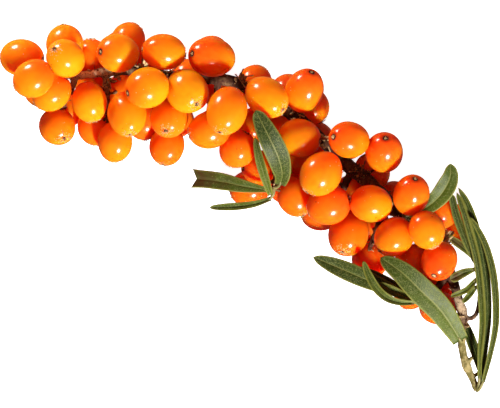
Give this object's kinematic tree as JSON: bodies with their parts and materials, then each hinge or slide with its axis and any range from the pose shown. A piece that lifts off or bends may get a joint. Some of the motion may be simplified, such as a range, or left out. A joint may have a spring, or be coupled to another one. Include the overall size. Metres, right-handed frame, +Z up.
{
  "type": "sea buckthorn sprig",
  "caption": "Cut sprig of sea buckthorn lying flat: a bent woody twig crowded with glossy orange oval berries in bunches, with narrow willow-like grey-green leaves.",
  "frame": {"origin": "middle of the bounding box at its bottom, on the surface the sprig lies on", "axes": "+X right along the sprig, from the tip of its twig to the side of its cut end; +Y across it; +Z up from the surface"},
  "size_m": [0.1149, 0.0852, 0.0293],
  "materials": {
    "berry_skin": "thin glossy translucent skin, yellow-orange to red-orange",
    "bark": "rough grey-brown bark with scurfy scales",
    "green_leaf": "matt grey-green blade with silvery scales, paler beneath",
    "dry_leaf": "matt olive-brown withered blade"
  },
  "bodies": {
    "root": {"berry_bunch_1a": "berry_skin", "berry_bunch_1b": "berry_skin", "berry_bunch_1c": "berry_skin", "berry_bunch_1d": "berry_skin", "berry_bunch_2a": "berry_skin", "berry_bunch_2b": "berry_skin", "berry_bunch_2c": "berry_skin", "berry_bunch_2d": "berry_skin", "berry_bunch_3a": "berry_skin", "berry_bunch_3b": "berry_skin", "berry_bunch_3c": "berry_skin", "berry_bunch_4a": "berry_skin", "berry_bunch_4b": "berry_skin", "berry_bunch_4c": "berry_skin", "berry_bunch_4d": "berry_skin", "berry_bunch_4e": "berry_skin", "berry_bunch_4f": "berry_skin", "berry_bunch_4g": "berry_skin", "berry_bunch_5a": "berry_skin", "berry_bunch_5b": "berry_skin", "berry_bunch_5c": "berry_skin", "berry_bunch_6a": "berry_skin", "berry_bunch_6b": "berry_skin", "berry_bunch_6c": "berry_skin", "berry_bunch_6d": "berry_skin", "berry_bunch_7a": "berry_skin", "berry_bunch_7b": "berry_skin", "berry_bunch_7c": "berry_skin", "berry_bunch_8a": "berry_skin", "leaf_behind_lobe": "green_leaf", "leaf_behind_lower": "green_leaf", "leaf_behind_middle": "dry_leaf", "leaf_behind_upper": "dry_leaf", "leaf_bundle_back": "green_leaf", "leaf_bundle_inner": "green_leaf", "leaf_bundle_middle": "green_leaf", "leaf_bundle_outer": "green_leaf", "leaf_front_large": "green_leaf", "leaf_low_broad": "green_leaf", "leaf_low_dry": "dry_leaf", "leaf_low_folded": "green_leaf", "leaf_low_silver": "green_leaf", "leaf_mid_broad": "green_leaf", "leaf_mid_lower": "green_leaf", "leaf_mid_narrow": "green_leaf", "leaf_mid_notched": "green_leaf", "leaf_twig_dark": "green_leaf", "leaf_upper_right": "green_leaf", "twig": "bark"}
  },
  "joints": []
}
